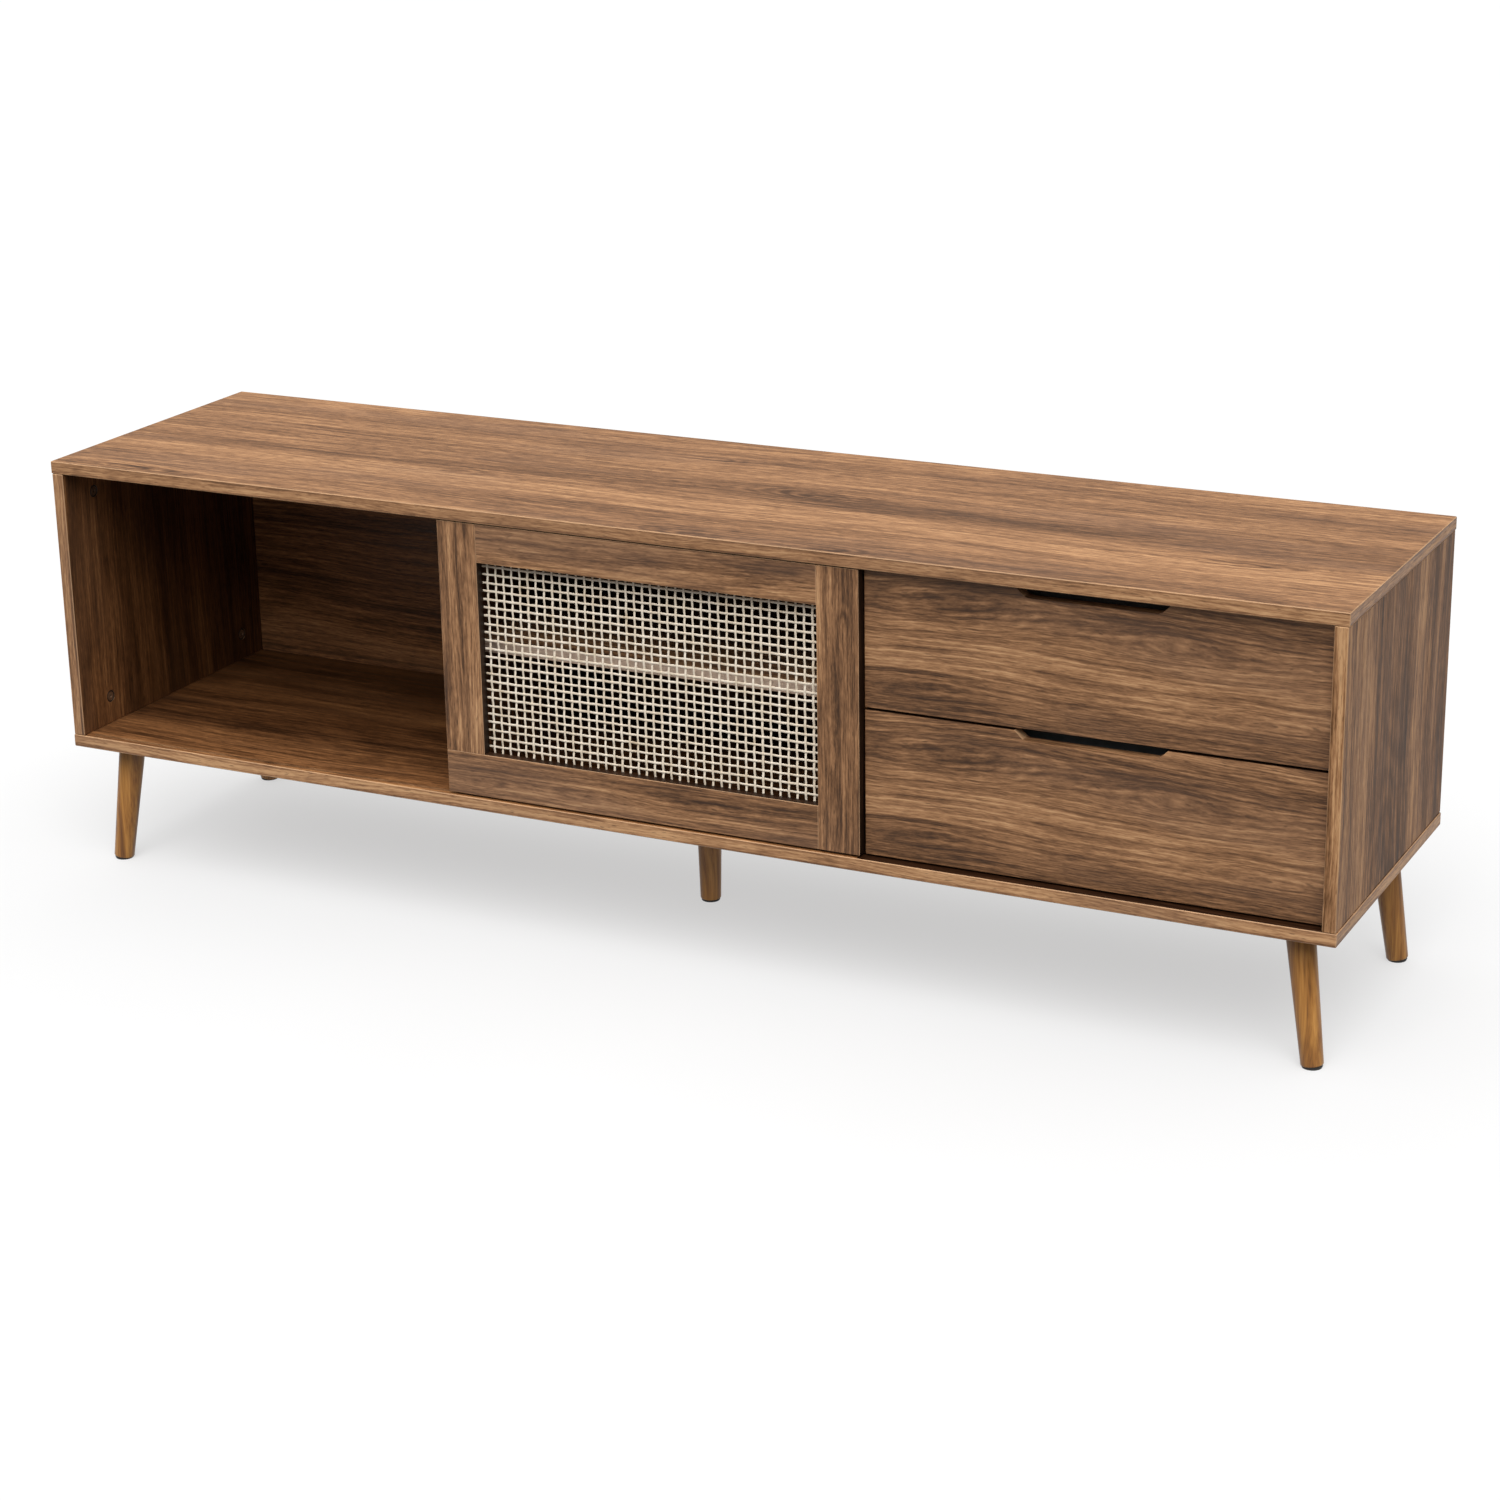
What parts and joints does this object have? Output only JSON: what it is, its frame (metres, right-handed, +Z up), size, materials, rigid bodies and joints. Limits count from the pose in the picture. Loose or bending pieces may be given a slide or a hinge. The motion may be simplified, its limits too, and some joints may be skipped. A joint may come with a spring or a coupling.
{
  "type": "media cabinet",
  "caption": "Low walnut media cabinet on splayed round legs, with an open bay, a sliding door of open-weave cane and drawers with finger notches.",
  "frame": {"origin": "on the floor, under the centre of the cabinet's outline", "axes": "+X to the right of a person facing the front, along the length; -Y out of the front; +Z up"},
  "size_m": [1.6, 0.4, 0.515],
  "materials": {
    "walnut_top": "satin walnut laminate, grain along X",
    "walnut_side": "satin walnut laminate, upright grain",
    "walnut_inside": "satin walnut laminate",
    "walnut_front": "satin walnut laminate, grain along X",
    "walnut_door": "satin walnut laminate, grain along each member",
    "drawer_board": "satin walnut laminate",
    "drawer_base": "grey coated hardboard",
    "leg_wood": "lacquered solid wood",
    "cane": "open square weave of pale cane",
    "black_plastic": "moulded",
    "slate_plastic": "moulded",
    "zinc_steel": "zinc plated",
    "cam_metal": "brown lacquered die-cast zinc"
  },
  "bodies": {
    "carcase": {"top_panel": "walnut_top", "bottom_panel": "walnut_top", "left_side_panel": "walnut_side", "right_side_panel": "walnut_side", "left_divider": "walnut_side", "right_divider": "walnut_side", "back_panel": "walnut_inside", "shelf": "walnut_inside", "leg_front_left": "leg_wood", "glide_front_left": "black_plastic", "leg_plate_front_left": "zinc_steel", "leg_front_right": "leg_wood", "glide_front_right": "black_plastic", "leg_plate_front_right": "zinc_steel", "leg_rear_left": "leg_wood", "glide_rear_left": "black_plastic", "leg_plate_rear_left": "zinc_steel", "leg_rear_right": "leg_wood", "glide_rear_right": "black_plastic", "leg_plate_rear_right": "zinc_steel", "leg_middle": "leg_wood", "glide_middle": "black_plastic", "leg_plate_middle": "zinc_steel", "cam_lock_lower_front": "cam_metal", "cam_lock_lower_rear": "cam_metal", "cam_lock_upper_front": "cam_metal", "cam_lock_upper_rear": "cam_metal", "shelf_pin_left_front": "zinc_steel", "shelf_pin_left_rear": "zinc_steel", "shelf_pin_right_front": "zinc_steel", "shelf_pin_right_rear": "zinc_steel", "upper_drawer_cabinet_slide_left": "zinc_steel", "upper_drawer_cabinet_slide_right": "zinc_steel", "lower_drawer_cabinet_slide_left": "zinc_steel", "lower_drawer_cabinet_slide_right": "zinc_steel"},
    "door": {"door_stile_left": "walnut_door", "door_stile_right": "walnut_door", "door_rail_top": "walnut_door", "door_rail_bottom": "walnut_door", "cane_panel": "cane", "door_glide_left": "black_plastic", "door_glide_right": "black_plastic", "door_top_guide_left": "black_plastic", "door_top_guide_right": "black_plastic"},
    "upper_drawer": {"upper_drawer_front": "walnut_front", "upper_drawer_pull_liner": "slate_plastic", "upper_drawer_side_left": "drawer_board", "upper_drawer_side_right": "drawer_board", "upper_drawer_back": "drawer_board", "upper_drawer_bottom": "drawer_base", "upper_drawer_runner_left": "zinc_steel", "upper_drawer_runner_right": "zinc_steel"},
    "lower_drawer": {"lower_drawer_front": "walnut_front", "lower_drawer_pull_liner": "slate_plastic", "lower_drawer_side_left": "drawer_board", "lower_drawer_side_right": "drawer_board", "lower_drawer_back": "drawer_board", "lower_drawer_bottom": "drawer_base", "lower_drawer_runner_left": "zinc_steel", "lower_drawer_runner_right": "zinc_steel"}
  },
  "joints": [
    {"name": "door_slide", "type": "slide", "parent": "carcase", "child": "door", "axis": [-1, 0, 0], "range_m": [0, 0.518]},
    {"name": "upper_drawer_slide", "type": "slide", "parent": "carcase", "child": "upper_drawer", "axis": [0, -1, 0], "range_m": [0, 0.28]},
    {"name": "lower_drawer_slide", "type": "slide", "parent": "carcase", "child": "lower_drawer", "axis": [0, -1, 0], "range_m": [0, 0.28]}
  ]
}
